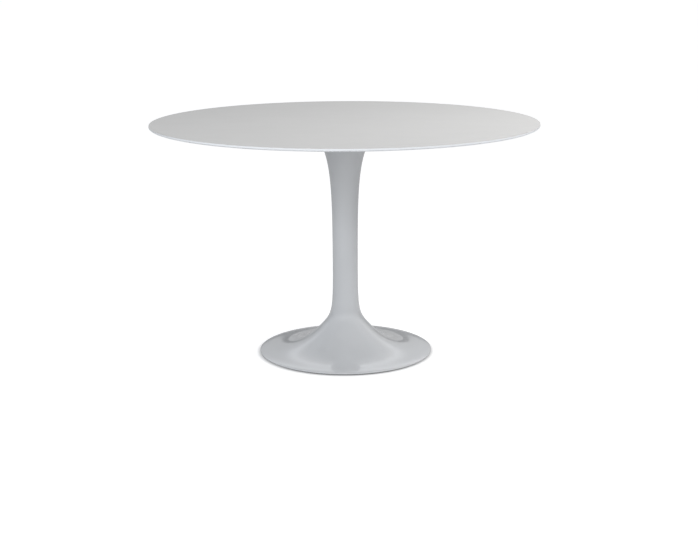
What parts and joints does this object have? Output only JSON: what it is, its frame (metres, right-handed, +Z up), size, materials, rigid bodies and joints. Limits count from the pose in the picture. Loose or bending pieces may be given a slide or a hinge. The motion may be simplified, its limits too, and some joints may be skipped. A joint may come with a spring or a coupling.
{
  "type": "round pedestal table",
  "caption": "Round dining table with a thin undercut white top on a single trumpet-shaped pedestal that flares into a low disc foot.",
  "frame": {"origin": "on the floor, on the axis of the pedestal, at the centre of the foot ring's underside", "axes": "+Z up along the pedestal's axis; the table is round, so +X and +Y are any two level directions at right angles, +X through one of the plate screws"},
  "size_m": [1.1998, 1.2, 0.735],
  "materials": {
    "face_laminate": "matte",
    "painted_board": "satin",
    "backing_laminate": "matte",
    "coated_casting": "gloss",
    "black_steel": "satin",
    "turned_steel": "satin",
    "zinc_steel": "satin",
    "spring_steel": "satin",
    "insert_brass": "satin",
    "ballast_iron": "matte",
    "foot_rubber": "matte",
    "gasket_rubber": "matte",
    "cover_plastic": "matte"
  },
  "bodies": {
    "root": {"top_face_laminate": "face_laminate", "top_core": "painted_board", "top_backing_laminate": "backing_laminate", "top_inserts": "insert_brass", "mounting_plate": "black_steel", "plate_hub": "turned_steel", "plate_screws": "zinc_steel", "plate_washers": "zinc_steel", "hub_lock_nut": "zinc_steel", "mouth_gasket": "gasket_rubber", "pedestal": "coated_casting", "tie_rod": "zinc_steel", "clamp_plate": "black_steel", "clamp_washer": "zinc_steel", "clamp_spring_washer": "spring_steel", "clamp_nut": "zinc_steel", "ballast_ring": "ballast_iron", "ballast_bolts": "zinc_steel", "ballast_washers": "zinc_steel", "foot_ring": "foot_rubber", "bottom_cover": "cover_plastic", "cover_screws": "zinc_steel", "access_plug": "cover_plastic"}
  },
  "joints": []
}
